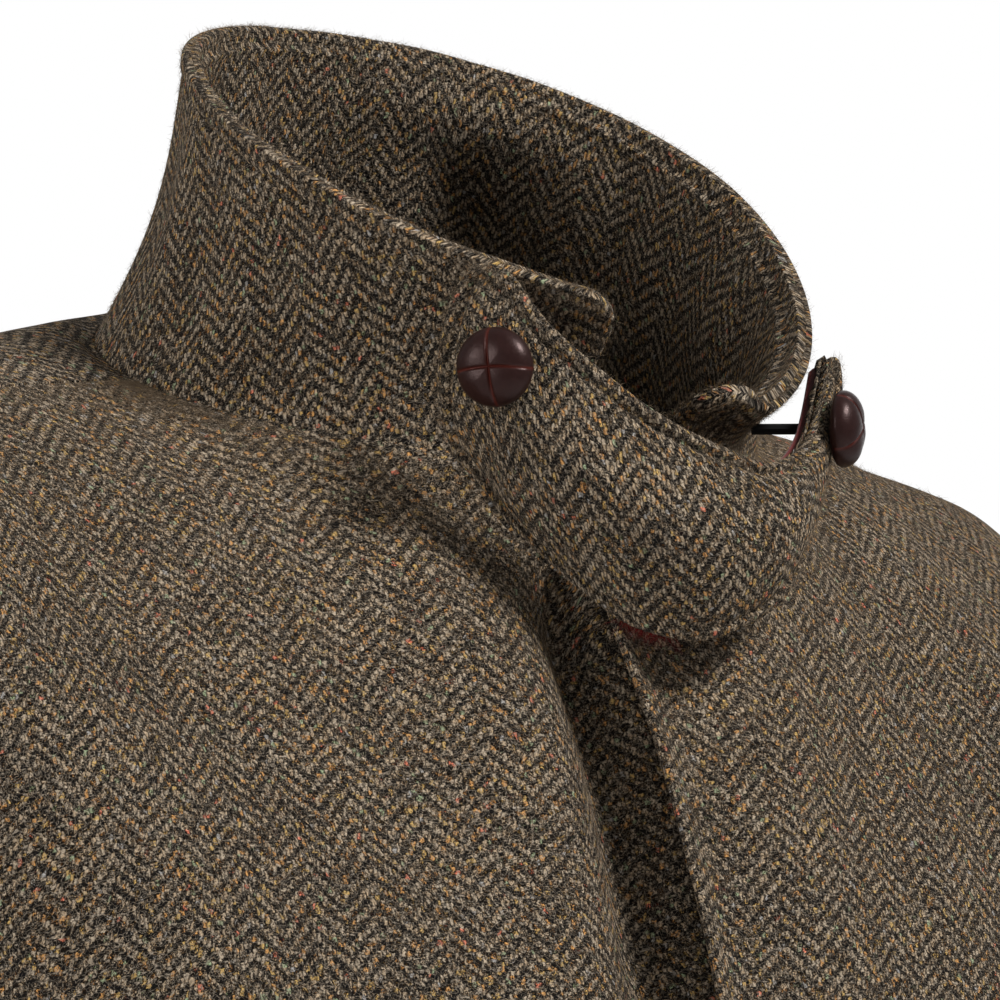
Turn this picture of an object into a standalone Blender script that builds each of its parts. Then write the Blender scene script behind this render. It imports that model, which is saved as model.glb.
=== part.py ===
# Tweed hunting jacket, worn shape: hollow body, sleeves, standing collar, throat tab and leather buttons.
# Metres, Z up, the wearer faces -Y and +X is the wearer's left. Origin: middle of the neck at the neck seam.
import math

import bmesh
import bpy
import numpy as np

BODY_WALL = 0.0024      # tweed with its backing
COLLAR_WALL = 0.0046    # two layers of tweed and the canvas between
TAB_WALL = 0.0030
LINING_WALL = 0.0010
LINING_INSET = 0.045    # lining's distance from the tab's edges, as a share of its depth
SEAM_GAP = 0.0006       # clear space at each seam
LAP_GAP = 0.0012        # clear space between the lapped fronts
BUTTON_RADIUS = 0.0095
BUTTON_HEIGHT = 0.0075

# Rings of the body from the neck seam to the hem. Angle 0 is centre back, 90 the wearer's left side,
# 180 centre front. lap_left and lap_right are where the two front edges lie across the front.
RING_COLUMNS = ("s", "half_width", "front_depth", "back_depth", "z_side", "z_front", "z_back",
                "square", "lap_left", "lap_right")
RINGS = np.array([
    (0.0, 0.0856, 0.0867, 0.0775, 0.000, -0.013, 0.0255, 1.00, -0.012, 0.014),
    (1.0, 0.1010, 0.0960, 0.0900, -0.001, -0.042, 0.0195, 1.00, -0.011, 0.018),
    (2.0, 0.1450, 0.1180, 0.1090, -0.009, -0.090, -0.0150, 0.97, -0.005, 0.028),
    (3.0, 0.2050, 0.1420, 0.1260, -0.034, -0.150, -0.0850, 0.93, -0.001, 0.034),
    (4.0, 0.2080, 0.1520, 0.1300, -0.135, -0.205, -0.1650, 0.88, -0.006, 0.032),
    (5.0, 0.2120, 0.1540, 0.1270, -0.240, -0.265, -0.2480, 0.85, -0.016, 0.028),
    (6.0, 0.2020, 0.1440, 0.1150, -0.430, -0.432, -0.4250, 0.86, -0.020, 0.026),
    (7.0, 0.2180, 0.1500, 0.1300, -0.600, -0.602, -0.5950, 0.87, -0.020, 0.024),
    (8.0, 0.2320, 0.1560, 0.1420, -0.755, -0.760, -0.7500, 0.88, -0.016, 0.022)])
ARMHOLE_TOP, ARMHOLE_LOW = 3.0, 5.0
ARMHOLE_FORE, ARMHOLE_REAR = 23.0, 36.0   # how far the armhole reaches to the front and back, degrees

# Rim of the collar, right and left leaf, and where each leaf ends.
RIM = {"half_width": 0.0790, "back_depth": 0.0786, "shift_y": -0.0230, "z_side": 0.0636, "z_back": 0.0980}
RIM_RIGHT = {"front_depth": 0.0798, "z_front": 0.0253, "end": -170.0}
RIM_LEFT = {"front_depth": 0.0891, "z_front": -0.0015, "end": 174.0}
LEAF_TIP = 0.0065       # how far the left leaf's corner stands up
COLLAR_HOLLOW = 0.0045  # how far the collar draws in between seam and rim
COLLAR_CORNER = 0.012   # radius of the leaf's top corner

# Throat tab, from the end on the right leaf to the end on the left leaf: its top and lower edge.
TAB_COLUMNS = ("top_x", "top_y", "top_z", "low_x", "low_y", "low_z", "bow")
TAB = np.array([
    (-0.0547, -0.0857, 0.0325, -0.0524, -0.0803, -0.0099, 0.0030),
    (-0.0491, -0.0982, 0.0318, -0.0507, -0.0916, -0.0195, 0.0040),
    (-0.0414, -0.1070, 0.0197, -0.0438, -0.1015, -0.0325, 0.0045),
    (-0.0294, -0.1147, 0.0089, -0.0317, -0.1136, -0.0436, 0.0050),
    (-0.0157, -0.1198, 0.0001, -0.0169, -0.1226, -0.0513, 0.0050),
    (0.0012, -0.1209, -0.0056, 0.0013, -0.1288, -0.0519, 0.0050),
    (0.0194, -0.1183, -0.0084, 0.0219, -0.1257, -0.0422, 0.0045),
    (0.0396, -0.1074, 0.0002, 0.0410, -0.1104, -0.0266, 0.0040),
    (0.0606, -0.0886, 0.0275, 0.0602, -0.0900, -0.0092, 0.0030)])

# Sleeve rings below the armhole: middle of the arm and its two half widths.
SLEEVE_COLUMNS = ("x", "y", "z", "half_out", "half_fore", "tilt")
SLEEVE = np.array([
    (0.290, -0.004, -0.203, 0.067, 0.084, 40.0),
    (0.306, -0.008, -0.310, 0.063, 0.078, 20.0),
    (0.316, -0.016, -0.420, 0.058, 0.071, 10.0),
    (0.327, -0.040, -0.540, 0.053, 0.063, 8.0),
    (0.336, -0.075, -0.665, 0.048, 0.055, 8.0)])
FRONT_BUTTON_Z = (-0.270, -0.385, -0.500)


def column(name):
    return RINGS[:, RING_COLUMNS.index(name)]


def hermite(keys, values, at):
    """Smooth curve through the keyed values: cubic with slopes from the neighbouring keys."""
    keys = np.asarray(keys, float)
    values = np.asarray(values, float)
    slopes = np.gradient(values, keys, axis=0)
    at = np.clip(np.asarray(at, float), keys[0], keys[-1])
    k = np.clip(np.searchsorted(keys, at, side="right") - 1, 0, len(keys) - 2)
    h = keys[k + 1] - keys[k]
    t = (at - keys[k]) / h
    shape = t.shape + (1,) * (values.ndim - 1)
    t = t.reshape(shape)
    h = h.reshape(shape)
    return ((2 * t**3 - 3 * t**2 + 1) * values[k] + (t**3 - 2 * t**2 + t) * h * slopes[k]
            + (3 * t**2 - 2 * t**3) * values[k + 1] + (t**3 - t**2) * h * slopes[k + 1])


def ring_value(name, s):
    return hermite(column("s"), column(name), s)


def body_point(s, angle):
    """Point of the body at ring s and angle in degrees: a squared ellipse that leans from back to front."""
    s, angle = np.broadcast_arrays(np.asarray(s, float), np.asarray(angle, float))
    a = np.radians(angle)
    sn, cs = np.sin(a), np.cos(a)
    q = ring_value("square", s)
    depth = np.where(cs > 0, ring_value("back_depth", s), ring_value("front_depth", s))
    zs, zf, zb = ring_value("z_side", s), ring_value("z_front", s), ring_value("z_back", s)
    x = ring_value("half_width", s) * np.sign(sn) * np.abs(sn) ** q
    y = depth * np.sign(cs) * np.abs(cs) ** q
    z = zs + (zb - zf) / 2 * cs + ((zb + zf) / 2 - zs) * cs**2
    return np.stack([x, y, z], -1)


def body_normal(s, angle):
    """Outward direction of the body: the cross product of its two slopes."""
    ds, da = 0.01, 0.5
    down = body_point(np.clip(s + ds, 0, 8), angle) - body_point(np.clip(s - ds, 0, 8), angle)
    round_ = body_point(s, angle + da) - body_point(s, angle - da)
    n = np.cross(round_, down)
    return n / np.linalg.norm(n, axis=-1, keepdims=True)


def edge_angle(s, name):
    """Angle at which a front edge lies, from where it crosses the front."""
    ratio = ring_value(name, s) / ring_value("half_width", s)
    return 180.0 - np.degrees(np.arcsin(np.sign(ratio) * np.abs(ratio) ** (1.0 / ring_value("square", s))))


def body_rows():
    """Ring values down the body, closer together round the armhole's ends."""
    middle, half = (ARMHOLE_TOP + ARMHOLE_LOW) / 2, (ARMHOLE_LOW - ARMHOLE_TOP) / 2
    turn = np.linspace(0, math.pi, 13)
    return np.concatenate([np.linspace(0, ARMHOLE_TOP, 10)[:-1], middle - half * np.cos(turn),
                           np.linspace(ARMHOLE_LOW, 8.0, 13)[1:]]), turn


def armhole_angle(s, spread):
    """Angle of the armhole from the side at ring s: an ellipse between its top and its low end."""
    middle, half = (ARMHOLE_TOP + ARMHOLE_LOW) / 2, (ARMHOLE_LOW - ARMHOLE_TOP) / 2
    return spread * np.sqrt(np.clip(1 - ((s - middle) / half) ** 2, 0, 1))


def side_gap(s):
    """Half a seam gap at the side of ring s, as an angle."""
    return np.degrees(SEAM_GAP / 2 / ring_value("front_depth", s))


def smoothstep(t):
    t = np.clip(t, 0, 1)
    return t * t * (3 - 2 * t)


def grid_mesh(name, points, closed=False):
    """Mesh of a grid of points; closed joins the last column to the first."""
    rows, columns = points.shape[:2]
    mesh = bpy.data.meshes.new(name)
    ids = np.arange(rows * columns).reshape(rows, columns)
    nxt = np.roll(ids, -1, axis=1) if closed else ids[:, 1:]
    cur = ids if closed else ids[:, :-1]
    faces = np.stack([cur[:-1], cur[1:], nxt[1:], nxt[:-1]], -1).reshape(-1, 4)
    mesh.from_pydata(points.reshape(-1, 3).tolist(), [], faces.tolist())
    mesh.validate()
    return mesh


def add_piece(name, mesh, colour, rough):
    ob = bpy.data.objects.new(name, mesh)
    jacket.objects.link(ob)
    mat = bpy.data.materials.new(name)
    mat.use_nodes = True
    shader = mat.node_tree.nodes["Principled BSDF"]
    shader.inputs["Base Color"].default_value = (*colour, 1)
    shader.inputs["Roughness"].default_value = rough
    mesh.materials.append(mat)
    return ob


def add_shell(name, points, wall, colour, closed=False, outward=None):
    """Cloth wall: the outer face is the grid of points, the thickness lies inside it."""
    ob = add_piece(name, grid_mesh(name, points, closed), colour, 0.9)
    bm = bmesh.new()
    bm.from_mesh(ob.data)
    if outward is not None:
        bm.normal_update()
        facing = sum(f.normal.dot(outward(f.calc_center_median())) * f.calc_area() for f in bm.faces)
        if facing < 0:
            bmesh.ops.reverse_faces(bm, faces=bm.faces[:])
    bm.to_mesh(ob.data)
    bm.free()
    solid = ob.modifiers.new("wall", "SOLIDIFY")
    solid.thickness = wall
    solid.offset = -1.0
    return ob


def from_axis(centre):
    return centre.__class__((centre.x, centre.y, 0.0))


def front_points(side):
    """Points of one front, from its centre edge round to the shoulder and side seam."""
    rows, _ = body_rows()
    t = np.linspace(0, 1, 16) ** 1.15
    inner = edge_angle(rows, "lap_left") if side > 0 else 360.0 - edge_angle(rows, "lap_right")
    outer = 90.0 + armhole_angle(rows, ARMHOLE_FORE) + side_gap(rows)
    angle = inner[:, None] + (outer - inner)[:, None] * t[None, :]
    s = np.repeat(rows[:, None], len(t), 1)
    p = body_point(s, side * angle)
    if side > 0:
        lap = ring_value("lap_right", s)
        lift = (BODY_WALL + LAP_GAP) * smoothstep((lap + 0.040 - p[..., 0]) / 0.034)
        p = p + body_normal(s, angle) * lift[..., None]
    return p


def back_points():
    rows, _ = body_rows()
    t = np.linspace(-1, 1, 24)
    outer = 90.0 - armhole_angle(rows, ARMHOLE_REAR) - side_gap(rows)
    angle = outer[:, None] * t[None, :]
    return body_point(np.repeat(rows[:, None], len(t), 1), angle)


def sleeve_points(side):
    """Sleeve from the armhole's curve, drawn in by the seam gap, to the cuff."""
    _, turn = body_rows()
    middle, half = (ARMHOLE_TOP + ARMHOLE_LOW) / 2, (ARMHOLE_LOW - ARMHOLE_TOP) / 2
    inset = 1.0 - 0.008
    way = np.concatenate([turn, 2 * math.pi - turn[-2:0:-1]])
    s = middle - half * inset * np.cos(way)
    reach = np.where(np.sin(way) > 0, ARMHOLE_FORE, ARMHOLE_REAR)
    angle = 90.0 + reach * inset * np.sin(way)
    first = body_point(s, angle)
    normal = body_normal(s, angle)
    rings = [first]
    for x, y, z, out, fore, tilt in SLEEVE:
        tip = math.radians(tilt)
        axis_out = np.array([math.cos(tip), 0.0, math.sin(tip)])
        rings.append(np.array([x, y, z]) + np.cos(way)[:, None] * out * axis_out
                     - np.sin(way)[:, None] * fore * np.array([0.0, 1.0, 0.0]))
    rings = np.array(rings)
    keys = np.array([0.0, 1.0, 2.0, 3.0, 4.0, 5.0])
    at = np.concatenate([np.linspace(0, 1, 6), np.linspace(1, 5, 12)[1:]])
    points = hermite(keys, rings, at)
    swell = 0.012 * np.sin(np.clip(at, 0, 1) * math.pi) * (at < 1)
    points += swell[:, None, None] * normal[None]
    points[..., 0] *= side
    return points


def neck_point(angle):
    return body_point(np.zeros_like(angle), angle)


def rim_point(angle):
    """Rim of the collar: an ellipse that leans forward, with a lower left leaf."""
    a = np.radians(angle)
    sn, cs = np.sin(a), np.cos(a)
    front = np.where(angle < 0, RIM_RIGHT["front_depth"], RIM_LEFT["front_depth"])
    z_front = np.where(angle < 0, RIM_RIGHT["z_front"], RIM_LEFT["z_front"])
    z_front = np.where(cs > 0, (RIM_RIGHT["z_front"] + RIM_LEFT["z_front"]) / 2, z_front)
    depth = np.where(cs > 0, RIM["back_depth"], front)
    x = RIM["half_width"] * sn
    y = depth * cs + RIM["shift_y"]
    z = RIM["z_side"] + (RIM["z_back"] - z_front) / 2 * cs + ((RIM["z_back"] + z_front) / 2 - RIM["z_side"]) * cs**2
    z = z + LEAF_TIP * smoothstep((angle - 160.0) / 11.0)
    return np.stack([x, y, z], -1)


def collar_point(angle, v):
    """Collar between the neck seam (v 0) and the rim (v 1), drawn in along its middle."""
    low, high = neck_point(angle), rim_point(angle)
    a = np.radians(angle)
    out = np.stack([np.sin(a), np.cos(a), np.zeros_like(a)], -1)
    base = low + (high - low) * v[..., None]
    return base - out * (COLLAR_HOLLOW * np.sin(math.pi * np.clip(v, 0, 1)) ** 1.0)[..., None]


def collar_points():
    v = np.array([0.006, 0.12, 0.26, 0.42, 0.58, 0.74, 0.87, 0.95, 1.0])
    t = np.linspace(0, 1, 49)
    height = 0.055
    corner = np.clip((v - 1) * height + COLLAR_CORNER, 0, COLLAR_CORNER)
    cut = COLLAR_CORNER - np.sqrt(np.maximum(COLLAR_CORNER**2 - corner**2, 0))
    cut = np.degrees(cut / 0.09)
    start, stop = RIM_RIGHT["end"] + cut, RIM_LEFT["end"] - cut
    angle = start[:, None] + (stop - start)[:, None] * t[None, :]
    return collar_point(angle, np.repeat(v[:, None], len(t), 1))


def tab_surface(a, b):
    """Tab at a along it and b across it (0 top edge, 1 lower edge), bowed outward along its middle."""
    row = hermite(np.linspace(0, 1, len(TAB)), TAB, a)
    top, low, bow = row[..., 0:3], row[..., 3:6], row[..., 6]
    return top + (low - top) * b[..., None], bow


def tab_face(a, b, shift):
    """Point of the tab's outer face moved inward by shift, and its outward direction."""
    p, bow = tab_surface(a, b)
    e = 0.004
    along = tab_surface(np.clip(a + e, 0, 1), b)[0] - tab_surface(np.clip(a - e, 0, 1), b)[0]
    across = tab_surface(a, np.ones_like(b))[0] - tab_surface(a, np.zeros_like(b))[0]
    n = np.cross(across, along)
    n /= np.linalg.norm(n, axis=-1, keepdims=True)
    return p + n * (bow * (1 - (2 * b - 1) ** 2) - shift)[..., None], n


def tab_points(shift, inset=0.0):
    """Grid of the tab with rounded ends, drawn in from its edges by a share of its size."""
    tt, bb = np.meshgrid(np.linspace(inset / 3, 1 - inset / 3, 25), np.linspace(inset, 1 - inset, 8))
    ends = 0.045 * (np.abs(2 * bb - 1) ** 4)
    return tab_face(ends + (1 - 2 * ends) * tt, bb, shift)[0]


def tab_spot(a, b):
    p, n = tab_face(np.array([a]), np.array([b]), 0.0)
    return p[0], n[0]


def add_button(name, centre, normal, gap):
    """Domed leather button: a turned profile set on its place, facing along normal."""
    steps, turns = 7, 24
    bm = bmesh.new()
    u = np.linspace(0, math.pi / 2, steps)
    profile = [(0.0055, 0.0)] + [(BUTTON_RADIUS * math.cos(k) ** 0.8, 0.0022 + (BUTTON_HEIGHT - 0.0022) * math.sin(k))
                                 for k in u[:-1]]
    rings = [[bm.verts.new((r * math.cos(w), r * math.sin(w), h)) for w in np.arange(turns) * 2 * math.pi / turns]
             for r, h in profile]
    top = bm.verts.new((0, 0, BUTTON_HEIGHT))
    bm.faces.new(rings[0][::-1])
    for low, high in zip(rings[:-1], rings[1:]):
        for k in range(turns):
            bm.faces.new((low[k], low[(k + 1) % turns], high[(k + 1) % turns], high[k]))
    for k in range(turns):
        bm.faces.new((rings[-1][k], rings[-1][(k + 1) % turns], top))
    z = np.asarray(normal) / np.linalg.norm(normal)
    x = np.cross((0.0, 0.0, 1.0), z)
    x /= np.linalg.norm(x)
    y = np.cross(z, x)
    for vert in bm.verts:
        local = np.array(vert.co)
        vert.co = np.asarray(centre) + x * local[0] + y * local[1] + z * (local[2] + gap)
    mesh = bpy.data.meshes.new(name)
    bm.to_mesh(mesh)
    bm.free()
    return add_piece(name, mesh, (0.035, 0.018, 0.013), 0.35)


def add_shank(name, start, stop, radius):
    """Sewing thread between two points: a short round post."""
    start, stop = np.asarray(start), np.asarray(stop)
    z = (stop - start) / np.linalg.norm(stop - start)
    x = np.cross((0.0, 0.0, 1.0), z)
    x /= np.linalg.norm(x)
    y = np.cross(z, x)
    way = np.arange(10) * 2 * math.pi / 10
    ring = radius * (np.cos(way)[:, None] * x + np.sin(way)[:, None] * y)
    bm = bmesh.new()
    low = [bm.verts.new(start + r) for r in ring]
    high = [bm.verts.new(stop + r) for r in ring]
    bm.faces.new(low[::-1])
    bm.faces.new(high)
    for k in range(10):
        bm.faces.new((low[k], low[(k + 1) % 10], high[(k + 1) % 10], high[k]))
    mesh = bpy.data.meshes.new(name)
    bm.to_mesh(mesh)
    bm.free()
    return add_piece(name, mesh, (0.02, 0.02, 0.02), 0.8)


for old in list(bpy.data.objects):
    bpy.data.objects.remove(old, do_unlink=True)
jacket = bpy.data.collections.new("tweed_jacket")
bpy.context.scene.collection.children.link(jacket)

TWEED = (0.17, 0.12, 0.085)
add_shell("front_right", front_points(-1), BODY_WALL, TWEED, outward=from_axis)
add_shell("front_left", front_points(1), BODY_WALL, TWEED, outward=from_axis)
add_shell("back", back_points(), BODY_WALL, TWEED, outward=from_axis)
for name, side in (("sleeve_right", -1), ("sleeve_left", 1)):
    arm = np.array([0.305 * side, -0.02, 0.0])
    add_shell(name, sleeve_points(side), BODY_WALL, TWEED, closed=True,
              outward=lambda c, arm=arm: c.__class__((c.x - arm[0] + 0.09 * side * (c.z + 0.36), c.y - arm[1], 0.0)))
add_shell("collar", collar_points(), COLLAR_WALL, TWEED, outward=from_axis)
add_shell("throat_tab", tab_points(0.0), TAB_WALL, TWEED, outward=from_axis)
add_shell("throat_tab_lining", tab_points(TAB_WALL + 0.0008, LINING_INSET), LINING_WALL, (0.45, 0.03, 0.025), outward=from_axis)
spot, facing = tab_spot(0.165, 0.395)
add_button("button_right", spot, facing, 0.0004)
spot, facing = tab_spot(0.925, 0.30)
add_button("button_left", spot, facing, 0.0007)
inside = spot - facing * (TAB_WALL + LINING_WALL + 0.0014)
leaf = collar_points().reshape(-1, 3) - inside
depth = -(leaf @ facing)
aside = np.linalg.norm(leaf + depth[:, None] * facing, axis=1) + np.where(depth > 0.0005, 0.0, 1.0)
add_shank("thread_shank", inside - facing * (depth[np.argmin(aside)] - 0.0018), inside, 0.0014)
for k, z in enumerate(FRONT_BUTTON_Z, 1):
    s = np.interp(-z, -column("z_front"), column("s"))
    ang = 180.0
    lifted = body_point(s, ang) + body_normal(s, ang) * (BODY_WALL + LAP_GAP)
    add_button("front_button_%d" % k, lifted, body_normal(s, ang), 0.0004)
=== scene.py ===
import math
import bpy
import numpy as np
from mathutils import Matrix


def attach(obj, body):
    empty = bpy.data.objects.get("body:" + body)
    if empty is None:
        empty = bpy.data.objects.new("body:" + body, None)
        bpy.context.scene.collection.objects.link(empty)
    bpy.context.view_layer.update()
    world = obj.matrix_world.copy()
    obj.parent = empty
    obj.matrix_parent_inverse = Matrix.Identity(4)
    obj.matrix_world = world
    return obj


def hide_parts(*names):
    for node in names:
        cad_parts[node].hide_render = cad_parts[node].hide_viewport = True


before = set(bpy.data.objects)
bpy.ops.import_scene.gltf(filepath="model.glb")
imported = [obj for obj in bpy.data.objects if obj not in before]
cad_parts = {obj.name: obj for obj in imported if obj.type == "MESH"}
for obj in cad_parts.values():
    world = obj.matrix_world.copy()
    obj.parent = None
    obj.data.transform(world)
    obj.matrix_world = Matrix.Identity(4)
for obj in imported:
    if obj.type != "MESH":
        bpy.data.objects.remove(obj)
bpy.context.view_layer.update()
rng = np.random.default_rng(7)
scene = bpy.context.scene
print("stage: frame loaded")

# Camera: level with the collar, in front of the wearer's right shoulder, turned a little about its own axis.
cameraSet = {"azimuth": -36.93, "elevation": -0.917, "roll": 4.2955, "aim": (0.0314, 0.0045, -0.0212),
             "distance": 1.6, "focalPixels": 6200.0, "framePixels": 1000.0, "sensor": 36.0, "near": 0.05}


def cameraAxes(c):
    # Right, up and back of the camera: azimuth and elevation first, then the roll about the view.
    a, e, r = (math.radians(c[k]) for k in ("azimuth", "elevation", "roll"))
    back = np.array([math.sin(a) * math.cos(e), -math.cos(a) * math.cos(e), math.sin(e)])
    right = np.array([math.cos(a), math.sin(a), 0.0])
    up = np.cross(back, right)
    return right * math.cos(r) + up * math.sin(r), up * math.cos(r) - right * math.sin(r), back


def placeObject(ob, right, up, back, spot):
    m = np.eye(4)
    m[:3, 0], m[:3, 1], m[:3, 2], m[:3, 3] = right, up, back, spot
    ob.matrix_world = Matrix(m.tolist())


def addCamera(c):
    axes = cameraAxes(c)
    data = bpy.data.cameras.new("camera")
    data.sensor_width = c["sensor"]
    data.lens = c["focalPixels"] * c["sensor"] / c["framePixels"]
    data.clip_start = c["near"]
    ob = bpy.data.objects.new("camera", data)
    scene.collection.objects.link(ob)
    placeObject(ob, *axes, np.array(c["aim"]) + axes[2] * c["distance"])
    scene.camera = ob


addCamera(cameraSet)
print("stage: camera set")

# Body rings, the same sizes as the solids: ring number, half width, front and back depth, heights and squareness,
# and where the left and right front edges lie.
ringNames = ("s", "halfWidth", "frontDepth", "backDepth", "zSide", "zFront", "zBack", "square", "lapLeft", "lapRight")
ringRows = np.array([
    (0.0, 0.0856, 0.0867, 0.0775, 0.000, -0.013, 0.0255, 1.00, -0.012, 0.014),
    (1.0, 0.1010, 0.0960, 0.0900, -0.001, -0.042, 0.0195, 1.00, -0.011, 0.018),
    (2.0, 0.1450, 0.1180, 0.1090, -0.009, -0.090, -0.0150, 0.97, -0.005, 0.028),
    (3.0, 0.2050, 0.1420, 0.1260, -0.034, -0.150, -0.0850, 0.93, -0.001, 0.034),
    (4.0, 0.2080, 0.1520, 0.1300, -0.135, -0.205, -0.1650, 0.88, -0.006, 0.032),
    (5.0, 0.2120, 0.1540, 0.1270, -0.240, -0.265, -0.2480, 0.85, -0.016, 0.028),
    (6.0, 0.2020, 0.1440, 0.1150, -0.430, -0.432, -0.4250, 0.86, -0.020, 0.026),
    (7.0, 0.2180, 0.1500, 0.1300, -0.600, -0.602, -0.5950, 0.87, -0.020, 0.024),
    (8.0, 0.2320, 0.1560, 0.1420, -0.755, -0.760, -0.7500, 0.88, -0.016, 0.022)])
armhole = {"top": 3.0, "low": 5.0, "fore": 23.0, "rear": 36.0, "inset": 0.992}
wall = {"body": 0.0024, "collar": 0.0046, "tab": 0.0030, "lining": 0.0010, "seamGap": 0.0006, "lapGap": 0.0012,
        "seamRound": 0.00025}
# Steps for slopes on the body, and grid steps from an edge to the row that gives the cloth's direction there.
slopeStep = {"ring": 0.01, "angle": 0.5}
edgeReach = 10


def hermite(keys, values, at):
    # Cubic through the keyed values, slopes from the neighbouring keys.
    keys, values = np.asarray(keys, float), np.asarray(values, float)
    slopes = np.gradient(values, keys, axis=0)
    at = np.clip(np.asarray(at, float), keys[0], keys[-1])
    k = np.clip(np.searchsorted(keys, at, side="right") - 1, 0, len(keys) - 2)
    h = keys[k + 1] - keys[k]
    t = (at - keys[k]) / h
    shape = t.shape + (1,) * (values.ndim - 1)
    t, h = t.reshape(shape), h.reshape(shape)
    return ((2 * t**3 - 3 * t**2 + 1) * values[k] + (t**3 - 2 * t**2 + t) * h * slopes[k]
            + (3 * t**2 - 2 * t**3) * values[k + 1] + (t**3 - t**2) * h * slopes[k + 1])


def ringValue(name, s):
    return hermite(ringRows[:, 0], ringRows[:, ringNames.index(name)], s)


def smooth(t):
    # Zero to one with level ends: three t squared less two t cubed.
    t = np.clip(t, 0, 1)
    return t * t * (3 - 2 * t)


def grow(s, start, length):
    return smooth((s - start) / length)


def between(s, start, rise, stop, fall):
    # One between start and stop, growing and falling over the given lengths.
    return smooth((s - start) / rise) * smooth((stop - s) / fall)


def bell(x, width):
    # One at zero, falling off as a bell of that width.
    return np.exp(-(x / width) ** 2)


def bodyPoint(s, angle):
    # Squared ellipse of ring s at the angle from centre back, leaning from back to front.
    s, angle = np.broadcast_arrays(np.asarray(s, float), np.asarray(angle, float))
    sn, cs = np.sin(np.radians(angle)), np.cos(np.radians(angle))
    q = ringValue("square", s)
    depth = np.where(cs > 0, ringValue("backDepth", s), ringValue("frontDepth", s))
    zs, zf, zb = ringValue("zSide", s), ringValue("zFront", s), ringValue("zBack", s)
    return np.stack([ringValue("halfWidth", s) * np.sign(sn) * np.abs(sn) ** q, depth * np.sign(cs) * np.abs(cs) ** q,
                     zs + (zb - zf) / 2 * cs + ((zb + zf) / 2 - zs) * cs**2], -1)


def unit(v):
    return v / np.maximum(np.linalg.norm(v, axis=-1, keepdims=True), 1e-12)


def bodyNormal(s, angle):
    # Outward: cross product of the slope round the ring and the slope down the body.
    ds, da, last = slopeStep["ring"], slopeStep["angle"], ringRows[-1, 0]
    down = bodyPoint(np.clip(s + ds, 0, last), angle) - bodyPoint(np.clip(s - ds, 0, last), angle)
    return unit(np.cross(bodyPoint(s, angle + da) - bodyPoint(s, angle - da), down))


def edgeAngle(s, name, shift=0.0):
    # Angle where ring s meets the named front edge less the shift: the squared ellipse solved for its angle.
    ratio = (ringValue(name, s) - shift) / ringValue("halfWidth", s)
    return 180.0 - np.degrees(np.arcsin(np.sign(ratio) * np.abs(ratio) ** (1.0 / ringValue("square", s))))


def armholeAngle(s, spread):
    # Angle of the armhole's edge from the side: half an ellipse between its top and low end.
    middle, half = (armhole["top"] + armhole["low"]) / 2, (armhole["low"] - armhole["top"]) / 2
    return spread * np.sqrt(np.clip(1 - ((s - middle) / half) ** 2, 0, 1))


def gridNormal(p, towards):
    # Cross product of the grid's two slopes, turned as a whole to the side of the second argument.
    g = unit(np.cross(np.gradient(p, axis=1), np.gradient(p, axis=0)))
    return g * np.sign((g * towards).sum(-1).mean())


def clustered(n, power=1.6):
    # Values from 0 to 1, closer together at both ends.
    t = np.linspace(-1, 1, n)
    t = np.sign(t) * (1 - (1 - np.abs(t)) ** power)
    return (t + 1) / 2


def arcLength(p, axis):
    d = np.linalg.norm(np.diff(p, axis=axis), axis=-1)
    zero = np.zeros_like(np.take(d, [0], axis))
    return np.concatenate([zero, np.cumsum(d, axis)], axis)


def edgeShares(p, rounds, closed):
    # Distance from each edge over the rounding there, with the grid axis and end of that edge.
    across, along = arcLength(p, 0), arcLength(p, 1)
    out = [(across / rounds[0], rounds[0], 0, 0), ((across[-1:] - across) / rounds[1], rounds[1], 0, -1)]
    if not closed:
        out += [(along / rounds[2], rounds[2], 1, 0), ((along[:, -1:] - along) / rounds[3], rounds[3], 1, -1)]
    return out


def edgeRound(shares):
    # Share of the full thickness: a quarter circle within the rounding of each edge.
    t = np.clip(np.min([item[0] for item in shares], axis=0), 0, 1)
    return np.sqrt(np.clip(1 - (1 - t) ** 2, 0, 1))


def edgeUv(uv, shares):
    # Cloth length carried over the rounding: the arc beyond the flat length, laid outward from each edge.
    out = uv.copy()
    for t, size, axis, end in shares:
        t = np.clip(t, 0, 1)[..., None]
        extra = size * (math.pi / 2 - np.arccos(1 - t) - (1 - t))
        row = edgeReach if end == 0 else end - edgeReach
        border, inside = np.take(uv, [end], axis), np.take(uv, [row], axis)
        out = out + unit(border - inside) * extra
    return out


def addMesh(name, verts, faces, uv, mats, matIndex=None, values=None):
    mesh = bpy.data.meshes.new(name)
    mesh.vertices.add(len(verts))
    mesh.vertices.foreach_set("co", np.ascontiguousarray(verts, dtype=np.float32).ravel())
    n = faces.shape[1]
    mesh.loops.add(faces.size)
    mesh.loops.foreach_set("vertex_index", np.ascontiguousarray(faces, dtype=np.int32).ravel())
    mesh.polygons.add(len(faces))
    mesh.polygons.foreach_set("loop_start", np.arange(0, faces.size, n, dtype=np.int32))
    mesh.polygons.foreach_set("use_smooth", np.ones(len(faces), bool))
    if uv is not None:
        layer = mesh.uv_layers.new(name="cloth")
        layer.data.foreach_set("uv", np.ascontiguousarray(uv, dtype=np.float32).ravel())
    for m in mats:
        mesh.materials.append(m)
    if matIndex is not None:
        mesh.polygons.foreach_set("material_index", np.ascontiguousarray(matIndex, dtype=np.int32))
    for key, data in (values or {}).items():
        mesh.attributes.new(key, "FLOAT", "POINT").data.foreach_set("value", np.asarray(data, np.float32))
    mesh.update(calc_edges=True)
    ob = bpy.data.objects.new(name, mesh)
    scene.collection.objects.link(ob)
    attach(ob, "root")
    return ob


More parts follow.
